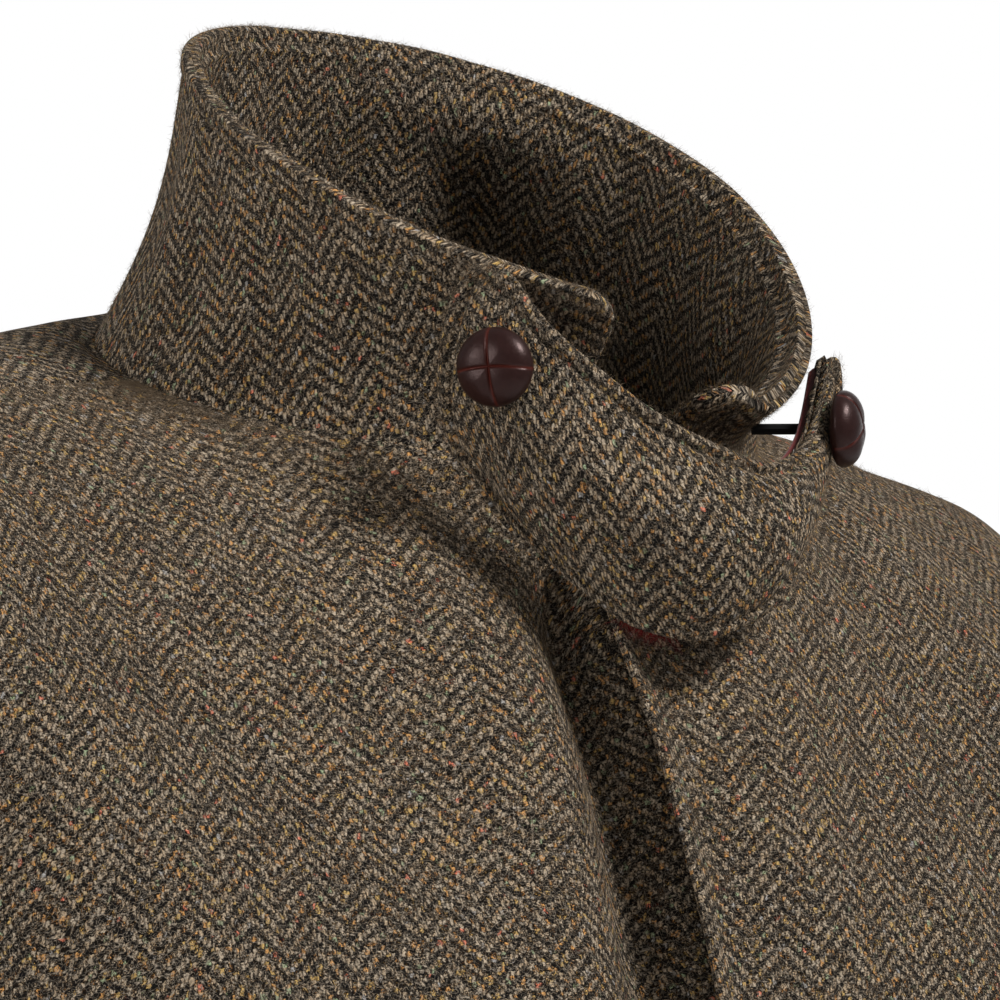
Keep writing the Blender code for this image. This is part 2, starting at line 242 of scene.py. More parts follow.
def gridFaces(ids, closed):
    cur = ids if closed else ids[:, :-1]
    nxt = np.roll(ids, -1, axis=1) if closed else ids[:, 1:]
    return np.stack([cur[:-1], cur[1:], nxt[1:], nxt[:-1]], -1).reshape(-1, 4)


def addShell(name, outer, normal, thick, uvOut, uvIn, mats, closed=False, seams=""):
    # Cloth wall: middle surface moved out and in by half the thickness, which rounds off to nothing at the edges,
    # tightly at the seams: t the first row, l the first column, r the last column.
    rows, cols = outer.shape[:2]
    mid = outer - normal * thick / 2
    rounds = [wall["seamRound"] if k in seams else thick / 2 for k in ("t", "b", "l", "r")]
    shares = edgeShares(mid, rounds, closed)
    part = edgeRound(shares)[..., None]
    uvOut, uvIn = edgeUv(uvOut, shares), edgeUv(uvIn, shares)
    top, low = mid + normal * thick / 2 * part, mid - normal * thick / 2 * part
    ids = np.arange(rows * cols).reshape(rows, cols)
    border = np.zeros((rows, cols), bool)
    border[0] = border[-1] = True
    if not closed:
        border[:, 0] = border[:, -1] = True
    inner = np.where(border, ids, 0)
    inner[~border] = rows * cols + np.arange((~border).sum())
    verts = np.concatenate([top.reshape(-1, 3), low[~border]])
    f1, f2 = gridFaces(ids, closed), gridFaces(inner, closed)[:, ::-1]
    uv = np.concatenate([uvOut.reshape(-1, 2)[f1], uvIn.reshape(-1, 2)[f1][:, ::-1]])
    if closed:
        # The last column's cells end at the full length round.
        for block, src in ((uv[:len(f1)], uvOut), (uv[len(f1):], uvIn)):
            u, long = block[..., 0], src[..., 0]
            wide = u.max(1) - u.min(1) > 0.5 * (long.max() - long.min())
            u[wide] = np.where(u[wide] < u[wide].mean(1, keepdims=True), u[wide] + long.max(), u[wide])
    faces = np.concatenate([f1, f2])
    a, b, c = (verts[f1[:, k]] for k in (0, 1, 3))
    if (np.cross(b - a, c - a) * normal.reshape(-1, 3)[f1[:, 0]]).sum() < 0:
        faces, uv = faces[:, ::-1], uv[:, ::-1]
    index = np.concatenate([np.zeros(len(f1), int), np.full(len(f2), len(mats) - 1)])
    return addMesh(name, verts, faces, uv, mats, index)


class Nodes:
    # Small helper that wires shader nodes.
    def __init__(self, name):
        self.mat = bpy.data.materials.new(name)
        self.mat.use_nodes = True
        self.tree = self.mat.node_tree
        self.shader = self.tree.nodes["Principled BSDF"]

    def add(self, kind, **inputs):
        node = self.tree.nodes.new(kind)
        for key, value in inputs.items():
            self.put(node.inputs[key.replace("_", " ")], value)
        return node

    def put(self, socket, value):
        if hasattr(value, "is_output"):
            self.tree.links.new(value, socket)
        else:
            socket.default_value = value

    def math(self, op, a, b=0.0, c=0.0):
        node = self.tree.nodes.new("ShaderNodeMath")
        node.operation = op
        for k, v in enumerate((a, b, c)):
            self.put(node.inputs[k], v)
        return node.outputs[0]

    def swing(self, value, middle, amount):
        # Distance from the middle times the amount.
        return self.math("MULTIPLY", self.math("SUBTRACT", value, middle), amount)

    def clothUv(self):
        uv = self.add("ShaderNodeUVMap")
        uv.uv_map = "cloth"
        return uv.outputs[0]

    def surface(self, values, strength, depth, height):
        # Sets the shader's sockets, with a bump of that strength, depth and height.
        for key, value in values.items():
            self.put(self.shader.inputs[key], value)
        bump = self.add("ShaderNodeBump", Strength=strength, Distance=depth, Height=height)
        self.put(self.shader.inputs["Normal"], bump.outputs[0])
        return self.mat

    def noise(self, vector, scale, detail=2.0, rough=0.5):
        node = self.tree.nodes.new("ShaderNodeTexNoise")
        node.noise_dimensions = "3D"
        for k, v in (("Vector", vector), ("Scale", scale), ("Detail", detail), ("Roughness", rough)):
            self.put(node.inputs[k], v)
        return node.outputs["Fac"]

    def random(self, x, y):
        v = self.combine(x, y, 0.37)
        node = self.tree.nodes.new("ShaderNodeTexWhiteNoise")
        node.noise_dimensions = "3D"
        self.put(node.inputs["Vector"], v)
        return node.outputs["Value"]

    def combine(self, x, y, z):
        node = self.tree.nodes.new("ShaderNodeCombineXYZ")
        for k, v in enumerate((x, y, z)):
            self.put(node.inputs[k], v)
        return node.outputs[0]

    def ramp(self, fac, stops):
        node = self.tree.nodes.new("ShaderNodeValToRGB")
        node.color_ramp.interpolation = "LINEAR"
        e = node.color_ramp.elements
        while len(e) < len(stops):
            e.new(0.5)
        for item, (pos, col) in zip(e, stops):
            item.position = pos
            item.color = (*col, 1)
        self.put(node.inputs["Fac"], fac)
        return node.outputs["Color"]

    def mix(self, fac, a, b, mode="MIX"):
        node = self.tree.nodes.new("ShaderNodeMix")
        node.data_type = "RGBA"
        node.blend_type = mode
        node.clamp_factor = True
        self.put(node.inputs[0], fac)
        for k, v in ((6, a), (7, b)):
            self.put(node.inputs[k], (*v, 1) if isinstance(v, tuple) else v)
        return node.outputs[2]


tweed = {"pitch": 0.00104, "ends": 8.0, "drift": 2.2, "curl": 1.40, "fine": 0.60, "bendScales": (70.0, 620.0, 2100.0),
         "bendSeeds": ((0.0, 3.1, 6.3), (5.0, 8.2, 11.4)),
         "tones": ((0.00, (0.0050, 0.0045, 0.0048)), (0.22, (0.0125, 0.0090, 0.0072)),
                   (0.42, (0.060, 0.0345, 0.0165)), (0.60, (0.154, 0.098, 0.050)),
                   (0.78, (0.350, 0.260, 0.168)), (1.0, (0.64, 0.515, 0.375))),
         "tints": ((0.00, (1.25, 0.80, 0.38)), (0.12, (1.18, 0.96, 0.46)), (0.24, (0.66, 0.98, 0.82)),
                   (0.268, (1.45, 0.55, 0.45)), (0.278, (0.80, 0.95, 1.25)), (0.302, (1.0, 0.93, 0.84)),
                   (0.64, (1.0, 1.0, 1.0))),
         "contrast": 2.20, "centre": 0.275, "even": 0.42, "warp": 0.48, "spread": 0.80,
         "strand": 1.00, "strandScale": 5200.0, "strandStretch": 0.38, "mottle": 1.0, "mottleScale": 1700.0,
         "patch": 0.25, "patchScale": 45.0, "patchEven": 0.42, "hair": (0.66, 0.545, 0.415), "hairShare": 0.60,
         "hairLines": ((21.0, 520.0, 0.021), (25.0, 760.0, 0.023), (29.0, 380.0, 0.014)),
         "paintedShade": 0.06, "paintedShadeGain": 1.04, "rough": 0.95, "shine": 0.10, "sheen": 0.07, "sheenRough": 0.6,
         "sheenTint": (0.75, 0.62, 0.5, 1), "crownHigh": 0.8, "mottleHigh": 1.1, "hairHigh": 0.5,
         "bump": 0.95, "bumpDepth": 0.00075}
# The body's cloth is rubbed rougher: looser yarns and more loose hairs over the same weave.
bodyTweed = {"curl": 1.75, "fine": 0.95, "strand": 1.35, "mottle": 1.35, "contrast": 2.45, "centre": 0.255,
             "hairShare": 0.66, "warp": 0.42}


def tweedMaterial(name, t):
    # Two-and-two twill whose slant turns every few ends; each crossing takes its own tone and fleck, under loose hairs,
    # with painted shade towards each yarn's sides.
    n = Nodes(name)
    sep = n.tree.nodes.new("ShaderNodeSeparateXYZ")
    n.put(sep.inputs[0], n.clothUv())
    u, v = sep.outputs[0], sep.outputs[1]
    place = []
    for along, seeds in zip((u, v), t["bendSeeds"]):
        total = n.math("DIVIDE", along, t["pitch"])
        for z, scale, amount in zip(seeds, t["bendScales"], (t["drift"], t["curl"], t["fine"])):
            total = n.math("ADD", total, n.swing(n.noise(n.combine(u, v, z), scale, 1.0), 0.5, amount))
        place.append(total)
    end, pick = n.math("FLOOR", place[0]), n.math("FLOOR", place[1])
    phase = n.math("FLOORED_MODULO", n.math("ADD", n.math("PINGPONG", end, t["ends"]), pick), 4.0)
    warpUp = n.math("LESS_THAN", phase, 1.5)
    weftUp = n.math("SUBTRACT", 1.0, warpUp)

    def upper(warp, weft):
        # The first value where the warp lies on top, the second where the weft does.
        return n.math("ADD", n.math("MULTIPLY", warp, warpUp), n.math("MULTIPLY", weft, weftUp))

    def yarnRound(at):
        # One along the yarn's middle, falling to zero at its sides by the square.
        off = n.math("ABSOLUTE", n.math("SUBTRACT", n.math("MULTIPLY", n.math("FRACT", at), 2.0), 1.0))
        return n.math("SUBTRACT", 1.0, n.math("POWER", off, 2.0))

    crown = upper(yarnRound(place[0]), yarnRound(place[1]))
    toss = n.random(end, pick)
    step = n.math("ADD", 0.5, n.math("MULTIPLY", warpUp, 0.5))
    fleck = n.random(n.math("ADD", n.math("FLOOR", n.math("MULTIPLY", end, step)), 40.0), pick)
    mottle = n.noise(n.combine(u, v, 14.0), t["mottleScale"], 2.0, 0.6)
    patch = n.noise(n.combine(u, v, 17.0), t["patchScale"], 2.0)
    long = n.noise(n.combine(u, n.math("MULTIPLY", v, t["strandStretch"]), 34.0), t["strandScale"], 1.0)
    wide = n.noise(n.combine(n.math("MULTIPLY", u, t["strandStretch"]), v, 38.0), t["strandScale"], 1.0)
    tone = n.math("ADD", n.math("MULTIPLY", warpUp, t["warp"]), n.math("MULTIPLY", toss, t["spread"] - t["warp"]))
    for value, middle, amount in ((mottle, 0.5, t["mottle"]), (patch, t["patchEven"], t["patch"]),
                                  (upper(long, wide), 0.5, t["strand"])):
        tone = n.math("ADD", tone, n.swing(value, middle, amount))
    tone = n.math("ADD", t["centre"], n.swing(tone, t["even"], t["contrast"]))
    tint = n.ramp(fleck, t["tints"])
    tint.node.color_ramp.interpolation = "CONSTANT"
    base = n.mix(1.0, n.ramp(tone, t["tones"]), tint, "MULTIPLY")
    hair = 0.0
    for z, scale, width in t["hairLines"]:
        off = n.math("ABSOLUTE", n.math("SUBTRACT", n.noise(n.combine(u, v, z), scale, 1.0), 0.5))
        line = n.math("SUBTRACT", 1.0, n.math("MINIMUM", n.math("DIVIDE", off, width), 1.0))
        hair = n.math("MAXIMUM", hair, line)
    base = n.mix(n.math("MULTIPLY", hair, t["hairShare"]), base, t["hair"])
    # Painted shade: the colour is multiplied by the yarn's round. It is dark at each yarn's sides, where the yarn dips
    # between its neighbours, and full at its crown.
    paintedShade = n.math("ADD", t["paintedShade"], n.math("MULTIPLY", crown, t["paintedShadeGain"]))
    base = n.mix(1.0, base, n.ramp(paintedShade, ((0.0, (0, 0, 0)), (1.0, (1, 1, 1)))), "MULTIPLY")
    high = n.math("ADD", n.math("MULTIPLY", mottle, t["mottleHigh"]), n.math("MULTIPLY", hair, t["hairHigh"]))
    high = n.math("ADD", n.math("MULTIPLY", crown, t["crownHigh"]), high)
    return n.surface({"Base Color": base, "Roughness": t["rough"], "Specular IOR Level": t["shine"],
                      "Sheen Weight": t["sheen"], "Sheen Roughness": t["sheenRough"], "Sheen Tint": t["sheenTint"]},
                     t["bump"], t["bumpDepth"], high)


felt = {"low": (0.0675, 0.0045, 0.00405), "high": (0.225, 0.015, 0.0135), "napScale": 2600.0, "rough": 0.95,
        "sheen": 0.3, "bump": 0.6, "bumpDepth": 0.0003}


def feltMaterial(name, t):
    # Red felt: a fine noise mixes the low and the high tone of the nap and lifts it.
    n = Nodes(name)
    nap = n.noise(n.clothUv(), t["napScale"], 3.0, 0.7)
    return n.surface({"Base Color": n.mix(nap, t["low"], t["high"]), "Roughness": t["rough"],
                      "Sheen Weight": t["sheen"]}, t["bump"], t["bumpDepth"], nap)


def plainMaterial(name, colour, rough, spec=0.3):
    n = Nodes(name)
    n.put(n.shader.inputs["Base Color"], (*colour, 1))
    n.put(n.shader.inputs["Roughness"], rough)
    n.put(n.shader.inputs["Specular IOR Level"], spec)
    return n.mat


leather = {"face": (0.0135, 0.0052, 0.0048), "rub": (0.036, 0.0125, 0.0105), "seam": (0.080, 0.0125, 0.0070),
           "rubShare": 0.5, "grainScale": 900.0, "rough": 0.25, "roughGain": 0.2, "shine": 0.30,
           "shineTint": (1.0, 0.72, 0.68, 1.0), "poreScale": 1500.0, "bump": 0.25, "bumpDepth": 0.0002}


def leatherMaterial(name, t):
    # Polished dark leather: a grain noise rubs it lighter and duller, and the seams are red.
    n = Nodes(name)
    coord = n.add("ShaderNodeTexCoord").outputs["Object"]
    seam = n.tree.nodes.new("ShaderNodeAttribute")
    seam.attribute_name = "seam"
    grain = n.noise(coord, t["grainScale"], 3.0)
    base = n.mix(n.math("MULTIPLY", grain, t["rubShare"]), t["face"], t["rub"])
    return n.surface({"Base Color": n.mix(seam.outputs["Fac"], base, t["seam"]),
                      "Roughness": n.math("ADD", t["rough"], n.math("MULTIPLY", grain, t["roughGain"])),
                      "Specular IOR Level": t["shine"], "Specular Tint": t["shineTint"]},
                     t["bump"], t["bumpDepth"], n.noise(coord, t["poreScale"], 3.0))


tweedMat = tweedMaterial("tweed", tweed)
bodyMat = tweedMaterial("tweedBody", {**tweed, **bodyTweed})
feltMat = feltMaterial("redFelt", felt)
leatherMat = leatherMaterial("buttonLeather", leather)
threadMat = plainMaterial("thread", (0.008, 0.008, 0.008), 0.7)
fuzzMat = plainMaterial("fuzz", (0.235, 0.172, 0.112), 0.9, 0.1)
redFuzzMat = plainMaterial("redFuzz", (0.16, 0.014, 0.013), 0.9, 0.1)
print("stage: materials made")


def rotateUv(uv, degrees):
    a = math.radians(degrees)
    u, v = uv[..., 0], uv[..., 1]
    return np.stack([u * math.cos(a) - v * math.sin(a), u * math.sin(a) + v * math.cos(a)], -1)


def wave(x, y, terms):
    # Sum of slow sine swells: each term gives height, two wave numbers and a phase.
    return sum(h * np.sin(kx * x + ky * y + ph) for h, kx, ky, ph in terms)


grainSet = {"across": 0.88, "limit": 0.98, "down": 0.93, "slope": 0.42}


def grainUv(p, reach):
    # Cloth lengths with the grain hanging straight: across by the arc whose half width is reach, down by height and
    # slope.
    t = grainSet
    u = t["across"] * reach * np.arcsin(np.clip(p[..., 0] / reach, -t["limit"], t["limit"]))
    return np.stack([u, t["down"] * p[..., 2] + t["slope"] * np.sign(p[..., 1].mean()) * np.abs(p[..., 1])], -1)


# Rows of fronts and back: the extra rows at the neck seam, and the fade of swells at neck and hem.
rowSet = {"last": 8.0, "even": 0.55, "bent": 0.45, "power": 2.6, "seam": (0.0, 0.006, 0.016), "clear": 0.02,
          "fade": (0.0, 0.5, 8.0, 0.4)}


def bodyRows(count):
    # Ring values with most of the rows on the upper body: an even share and a share bent by a power.
    t = np.linspace(0, 1, count)
    return rowSet["last"] * (rowSet["even"] * t + rowSet["bent"] * t ** rowSet["power"])


def outward(angle):
    # Level direction away from the body's middle at the angle from centre back.
    return np.stack([np.sin(np.radians(angle)), np.cos(np.radians(angle)), np.zeros_like(angle)], -1)


liftSet = {"height": 0.0050, "range": (0.0, 0.7, 3.0, 0.5), "angle": 95.0, "width": 55.0}
drapeSet = {"folds": ((0.0036, 46.0, 5.0, 0.6), (0.0022, 83.0, -9.0, 2.1)), "low": (3.4, 2.6), "clear": (0.035, 0.05),
            "pull": ((0.0040, 34.0, 70.0, 0.0),), "pullRing": 4.6, "pullWidth": 0.9, "pullClear": (0.09, 0.06)}


def shoulderLift(s, angle):
    # The wearer's left shoulder stands a little higher: a bell round the side, faded out at neck and armhole.
    t = liftSet
    return t["height"] * between(s, *t["range"]) * bell(angle - t["angle"], t["width"])


def drape(s, x, z):
    # Hanging folds of the lower body: two slanting sine swells that grow from the chest to the hem, none by the
    # buttons, and a pull fold below each armhole.
    t = drapeSet
    aside = np.abs(x)
    folds = wave(x, z, t["folds"]) * grow(s, *t["low"]) * grow(aside, *t["clear"])
    return folds + wave(aside, z, t["pull"]) * bell(s - t["pullRing"], t["pullWidth"]) * grow(aside, *t["pullClear"])


# Fronts: the valley lies on the right front beside the left one's edge, with a crest next to it; the left front
# has the lap, a lifted edge and a puff below the tab.
frontSet = {"rows": 230, "cols": 96, "swell": ((0.0011, 60, 25, 0.4), (0.0009, 33, 70, 1.9), (0.0007, 110, 40, 3.0)),
            "edgeShift": 0.0045, "shiftRange": (0.0, 0.8, 5.0, 1.6), "sideFade": 8.0, "edgeFade": 3.0, "edgeLeft": 0.4,
            "valley": 0.0135, "valleyAt": 0.0020, "valleySlant": 0.0014, "valleyWidth": 0.0062, "widthStart": 0.35,
            "widthGain": 0.30, "widthLast": 3.0, "roll": 2.1, "valleyRange": (0.6, 0.8, 5.5, 1.5),
            "crest": 0.0035, "crestAt": 0.034, "crestWidth": 0.02, "crestRange": (0.6, 0.8, 5.0, 1.5),
            "lapReach": 0.040, "lapFade": 0.034, "edgeLift": 0.0042, "liftAt": 0.001, "liftWidth": 0.0060,
            "liftFade": 0.6, "puff": 0.005, "puffRing": 1.9, "puffHigh": 0.7, "puffAt": 0.030, "puffWidth": 0.022,
            "leastReach": 0.21, "reach": 1.06}


def frontShell(side, t):
    # One front: body points from the centre edge to the side seam, swollen by slow waves, with the valley or lift at
    # the lap.
    rows = np.unique(np.concatenate([bodyRows(t["rows"]), [armhole["top"], armhole["low"]]]))
    rows = np.concatenate([rowSet["seam"], rows[rows > rowSet["clear"]]])
    c = clustered(t["cols"])
    shift = t["edgeShift"] * between(rows, *t["shiftRange"])
    inner = edgeAngle(rows, "lapLeft", shift) if side > 0 else 360.0 - edgeAngle(rows, "lapRight")
    gap = np.degrees(wall["seamGap"] / 2 / ringValue("frontDepth", rows))
    outer = 90.0 + armholeAngle(rows, armhole["fore"]) + gap
    angle = inner[:, None] + (outer - inner)[:, None] * c[None]
    s = np.repeat(rows[:, None], len(c), 1)
    p, n = bodyPoint(s, side * angle), bodyNormal(s, side * angle)
    x = p[..., 0]
    lap = ringValue("lapLeft", s) - shift[:, None]
    fade = between(s, *rowSet["fade"]) * smooth((angle - outer[:, None]) / t["sideFade"])
    fade = fade * smooth((inner[:, None] - angle) / t["edgeFade"] + t["edgeLeft"])
    move = (wave(x, p[..., 2], t["swell"]) + drape(s, x, p[..., 2])) * fade
    if side > 0:
        over = ringValue("lapRight", s) + t["lapReach"] - x
        move = move + (wall["body"] + wall["lapGap"]) * smooth(over / t["lapFade"])
        move = move + t["edgeLift"] * bell(x - lap - t["liftAt"], t["liftWidth"]) * smooth(s / t["liftFade"])
        puff = bell(s - t["puffRing"], t["puffHigh"]) * bell(x - t["puffAt"], t["puffWidth"])
        move = move + t["puff"] * puff + shoulderLift(s, angle)
    else:
        off = x - lap + t["valleyAt"] + t["valleySlant"] * s
        width = t["valleyWidth"] * (t["widthStart"] + t["widthGain"] * np.minimum(s, t["widthLast"]))
        width = width * np.where(off < 0, t["roll"], 1.0)
        move = move - t["valley"] * bell(off, width) * between(s, *t["valleyRange"])
        move = move + t["crest"] * bell(off + t["crestAt"], t["crestWidth"]) * between(s, *t["crestRange"])
    p = p + n * move[..., None]
    uv = grainUv(p, np.maximum(t["leastReach"], t["reach"] * ringValue("halfWidth", s)))
    if side < 0:
        # The cloth that the valley takes up: slope length less level length, summed from the side seam to the edge.
        run, rise = np.abs(np.diff(x, axis=1)), np.diff(move, axis=1)
        uv[:, :-1, 0] += np.cumsum((np.hypot(run, rise) - run)[:, ::-1], axis=1)[:, ::-1]
    return p, gridNormal(p, n), uv


shells = {}
for label, node, side in (("frontRightCloth", "front_right", -1), ("frontLeftCloth", "front_left", 1)):
    p, n, uv = frontShell(side, frontSet)
    ob = addShell(label, p, n, wall["body"], uv, uv, [bodyMat], seams="tr")
    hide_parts(node)
    shells[label] = (p, n, ob)
print("stage: fronts made")

backSet = {"rows": 150, "cols": 120, "swell": ((0.0012, 40, 22, 0.0), (0.0010, 25, 55, 1.2), (0.0007, 80, 30, 2.0)),
           "sideFade": 8.0, "reach": 0.25}


def backShell(t):
    # Back: body points between the two side seams, moved out by slow swells, folds and the shoulder's lift.
    rows = np.concatenate([rowSet["seam"], bodyRows(t["rows"])[2:]])
    c = clustered(t["cols"]) * 2 - 1
    gap = np.degrees(wall["seamGap"] / 2 / ringValue("frontDepth", rows))
    outer = 90.0 - armholeAngle(rows, armhole["rear"]) - gap
    angle = outer[:, None] * c[None]
    s = np.repeat(rows[:, None], len(c), 1)
    p, n = bodyPoint(s, angle), bodyNormal(s, angle)
    fade = between(s, *rowSet["fade"]) * smooth((outer[:, None] - np.abs(angle)) / t["sideFade"])
    swell = wave(p[..., 0], p[..., 2], t["swell"]) + drape(s, p[..., 0], p[..., 2])
    p = p + n * (swell * fade + shoulderLift(s, angle))[..., None]
    return p, gridNormal(p, n), grainUv(p, t["reach"])


p, n, uv = backShell(backSet)
backCloth = addShell("backCloth", p, n, wall["body"], uv, uv, [bodyMat], seams="tlr")
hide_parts("back")

# Sleeve rings below the armhole: middle of the arm, its half widths out and fore, and its tilt. Folds: place down the
# arm, share of the crease and phase round the arm.
sleeveSet = {"round": 96, "rows": 150, "rings": np.array([
    (0.290, -0.004, -0.203, 0.067, 0.084, 40.0), (0.306, -0.008, -0.310, 0.063, 0.078, 20.0),
    (0.316, -0.016, -0.420, 0.058, 0.071, 10.0), (0.327, -0.040, -0.540, 0.053, 0.063, 8.0),
    (0.336, -0.075, -0.665, 0.048, 0.055, 8.0)]),
    "capRows": (0.0, 0.004, 0.012), "span": (0.02, 4.985), "cuffRows": (4.992, 5.0), "cap": 0.012, "crease": 0.0068,
    "foreAngle": 1.9, "foreWidth": 1.5, "slant": 0.10, "foldWidth": 0.11, "foldRange": (0.0, 0.5, 5.0, 0.4),
    "folds": ((2.55, -1.0, 0.3), (2.85, 0.9, 1.0), (3.15, -0.9, 0.0), (3.5, 0.6, 2.0), (1.35, -0.6, 0.5),
              (1.7, 0.5, 1.5))}


def sleeveShell(side, t):
    # Sleeve: smooth loft from the armhole's curve through the arm rings, creased across the elbow's front and the cap.
    middle, half = (armhole["top"] + armhole["low"]) / 2, (armhole["low"] - armhole["top"]) / 2
    way = np.arange(t["round"]) * 2 * math.pi / t["round"]
    s = middle - half * armhole["inset"] * np.cos(way)
    angle = 90.0 + np.where(np.sin(way) > 0, armhole["fore"], armhole["rear"]) * armhole["inset"] * np.sin(way)
    rings = [bodyPoint(s, angle)]
    for x, y, z, out, fore, tilt in t["rings"]:
        tip = math.radians(tilt)
        rings.append(np.array([x, y, z]) + np.cos(way)[:, None] * out * np.array([math.cos(tip), 0.0, math.sin(tip)])
                     - np.sin(way)[:, None] * fore * np.array([0.0, 1.0, 0.0]))
    at = np.concatenate([t["capRows"], np.linspace(*t["span"], t["rows"]), t["cuffRows"]])
    p = hermite(np.arange(len(rings)), np.array(rings), at)
    cap = t["cap"] * np.sin(np.clip(at, 0, 1) * math.pi) * (at < 1)
    p = p + cap[:, None, None] * bodyNormal(s, angle)[None]
    turn = np.concatenate([p[:, -1:], p, p[:, :1]], 1)
    g = gridNormal(turn, turn - p.mean(1, keepdims=True))[:, 1:-1]
    front = bell(np.angle(np.exp(1j * (way[None] - t["foreAngle"]))), t["foreWidth"])
    fold = sum(h * bell(at[:, None] - k - t["slant"] * np.sin(way[None] + ph), t["foldWidth"])
               for k, h, ph in t["folds"])
    p = p + g * (t["crease"] * fold * front * between(at, *t["foldRange"])[:, None])[..., None]
    turn = arcLength(np.concatenate([p, p[:, :1]], 1), 1)[:, :-1]
    uv = np.stack([turn, -np.repeat(arcLength(p, 0).mean(1, keepdims=True), len(way), 1)], -1)
    p[..., 0] *= side
    g[..., 0] *= side
    return p, g, uv


for label, node, side in (("sleeveRightCloth", "sleeve_right", -1), ("sleeveLeftCloth", "sleeve_left", 1)):
    p, n, uv = sleeveShell(side, sleeveSet)
    ob = addShell(label, p, n, wall["body"], uv, uv, [bodyMat], closed=True)
    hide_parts(node)
print("stage: back and sleeves made")

# Collar: each dent gives height, angle, its width, slant by height, level and its width.
collarSet = {"halfWidth": 0.0790, "backDepth": 0.0786, "shiftY": -0.0230, "zSide": 0.0636, "zBack": 0.0980,
             "frontRight": 0.0798, "zRight": 0.0253, "endRight": -170.0, "frontLeft": 0.0891, "zLeft": -0.0015,
             "endLeft": 174.0, "tip": 0.0065, "tipFrom": (160.0, 11.0), "hollow": 0.0045, "corner": 0.012,
             "cornerHigh": 0.055, "cornerReach": 0.09, "cols": 330, "rows": 64, "colPower": 1.35, "rowPower": 1.8,
             "roll": 0.0007, "rollEdge": (0.0045, 0.0012), "stitch": 0.0008, "stitchAt": 0.0062, "stitchWidth": 0.0008,
             "tuck": -0.05, "uvLevel": 0.6, "grain": 38.0, "swell": ((0.0008, 9, 2.0, 0.5), (0.0006, 17, -3.0, 1.3)),
             "dents": ((0.0100, 40, 13, 0, 0.40, 0.24), (-0.0040, 30, 22, 0, 0.80, 0.14),
                       (-0.0018, -118, 9, -14, 0.35, 0.3))}


def rimPoint(angle, t):
    # Rim: an ellipse that leans forward, its left leaf lower than its right, with a raised left tip.
    sn, cs = np.sin(np.radians(angle)), np.cos(np.radians(angle))
    front = np.where(angle < 0, t["frontRight"], t["frontLeft"])
    zFront = np.where(cs > 0, (t["zRight"] + t["zLeft"]) / 2, np.where(angle < 0, t["zRight"], t["zLeft"]))
    return np.stack([t["halfWidth"] * sn, np.where(cs > 0, t["backDepth"], front) * cs + t["shiftY"],
                     t["zSide"] + (t["zBack"] - zFront) / 2 * cs + ((t["zBack"] + zFront) / 2 - t["zSide"]) * cs**2
                     + t["tip"] * grow(angle, *t["tipFrom"])], -1)


def collarShell(t):
    # Collar: straight from neck seam to rim, drawn in along the middle, dented at the back and rolled at the rim.
    c = clustered(t["cols"], t["colPower"])
    v = t["tuck"] + (1 - t["tuck"]) * clustered(t["rows"], t["rowPower"])
    d = np.clip((v - 1) * t["cornerHigh"] + t["corner"], 0, t["corner"])
    cut = np.degrees((t["corner"] - np.sqrt(np.maximum(t["corner"] ** 2 - d**2, 0))) / t["cornerReach"])
    start, stop = t["endRight"] + cut, t["endLeft"] - cut
    angle = start[:, None] + (stop - start)[:, None] * c[None]
    vv = np.repeat(v[:, None], len(c), 1)
    low, high = bodyPoint(np.zeros_like(angle), angle), rimPoint(angle, t)
    out = outward(angle)
    p = low + (high - low) * vv[..., None] - out * (t["hollow"] * np.sin(math.pi * vv))[..., None]
    reach = np.linalg.norm(high - low, axis=-1) * (1 - vv)
    edge = t["roll"] * (1 - grow(reach, *t["rollEdge"])) - t["stitch"] * bell(reach - t["stitchAt"], t["stitchWidth"])
    move = np.sin(math.pi * np.clip(vv, 0, 1)) * wave(np.radians(angle), vv, t["swell"])
    for height, at, width, slant, level, tall in t["dents"]:
        move = move + height * bell(angle - at - slant * vv, width) * bell(vv - level, tall)
    g = gridNormal(p + out * move[..., None], out)
    p = p + out * (move + edge)[..., None]
    along = arcLength(low + (high - low) * t["uvLevel"], 1)
    k = np.argmin(np.abs(c - 0.5))
    return p, g, np.stack([along - along[:, k:k + 1], -reach], -1)


p, n, uv = collarShell(collarSet)
collarCloth = addShell("collarCloth", p, n, wall["collar"], rotateUv(uv, collarSet["grain"]), uv, [tweedMat], seams="t")
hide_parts("collar")
shells["collarCloth"] = (p, n, collarCloth)
print("stage: collar made")

# Throat tab from the right leaf to the left: its top edge, its lower edge and how far it bows out.
tabSet = {"cols": 150, "rows": 60, "colPower": 1.4, "rowPower": 1.7, "gap": 0.0008, "inset": 0.045, "grain": -22.0,
          "step": 0.004, "hug": 0.015, "hugFrom": (0.42, 0.75), "hugAt": 0.42, "hugWidth": 0.27, "endCurve": 0.045,
          "endPower": 4, "hem": 0.0008, "hemEdge": (0.0028, 0.0012), "groove": 0.0011, "grooveAt": 0.0048,
          "grooveWidth": 0.0009, "swell": ((0.0008, 9, 3, 0.0),), "swellEdge": 0.008, "table": np.array([
              (-0.0547, -0.0857, 0.0325, -0.0524, -0.0803, -0.0099, 0.0030),
              (-0.0491, -0.0982, 0.0318, -0.0507, -0.0916, -0.0195, 0.0040),
              (-0.0414, -0.1070, 0.0197, -0.0438, -0.1015, -0.0325, 0.0045),
              (-0.0294, -0.1147, 0.0089, -0.0317, -0.1136, -0.0436, 0.0050),
              (-0.0157, -0.1198, 0.0001, -0.0169, -0.1226, -0.0513, 0.0050),
              (0.0012, -0.1209, -0.0056, 0.0013, -0.1288, -0.0519, 0.0050),
              (0.0194, -0.1183, -0.0084, 0.0219, -0.1257, -0.0422, 0.0045),
              (0.0396, -0.1074, 0.0002, 0.0410, -0.1104, -0.0266, 0.0040),
              (0.0606, -0.0886, 0.0275, 0.0602, -0.0900, -0.0092, 0.0030)])}


